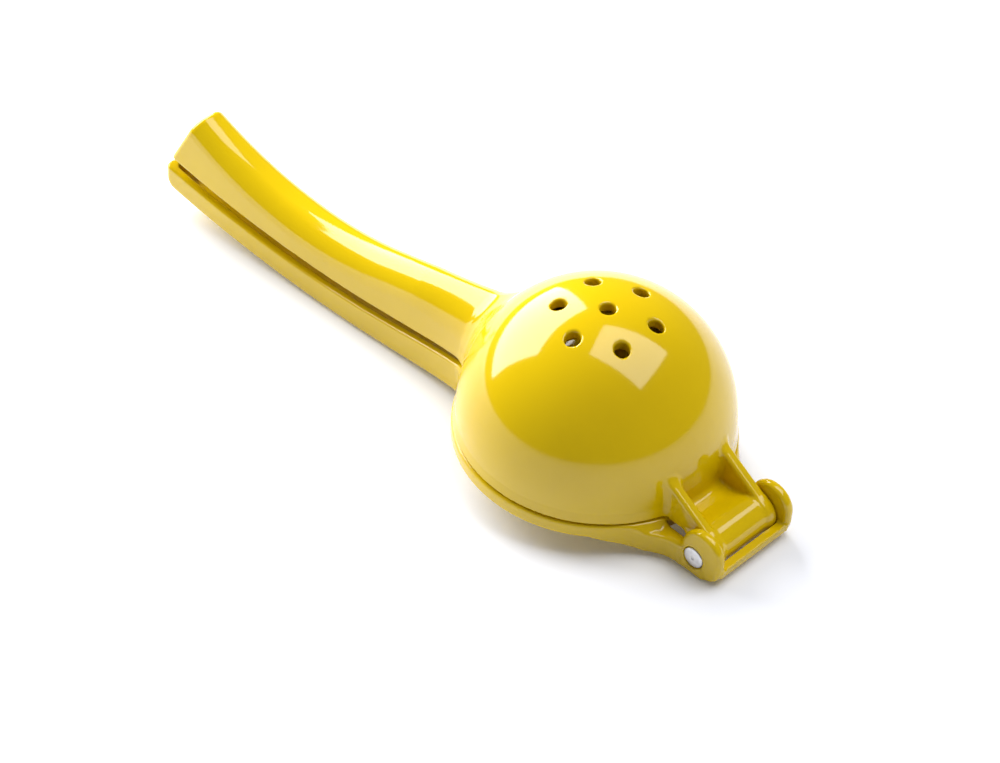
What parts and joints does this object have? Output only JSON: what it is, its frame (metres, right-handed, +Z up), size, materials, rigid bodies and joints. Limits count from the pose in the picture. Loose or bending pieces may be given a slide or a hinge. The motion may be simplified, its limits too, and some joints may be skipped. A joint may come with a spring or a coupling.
{
  "type": "hinged citrus squeezer",
  "caption": "Hand-held hinged citrus squeezer in enamelled cast aluminium, lying closed with its perforated bowl up.",
  "frame": {"origin": "on the table, under the middle of the closed tool's bounding box", "axes": "+Z up from the table, +X from the handles towards the hinge, +Y along the hinge pin"},
  "size_m": [0.211, 0.0736, 0.0522],
  "materials": {
    "yellow_enamel": "glossy enamel over cast aluminium",
    "pin_metal": "bright, staked ends"
  },
  "bodies": {
    "press": {"press_half": "yellow_enamel", "hinge_pin": "pin_metal"},
    "strainer": {"strainer_half": "yellow_enamel"}
  },
  "joints": [
    {"name": "squeezer_hinge", "type": "hinge", "parent": "press", "child": "strainer", "pos_m": [0.09713, 0, 0.00571], "axis": [0, 1, 0], "range_deg": [0, 85]}
  ]
}
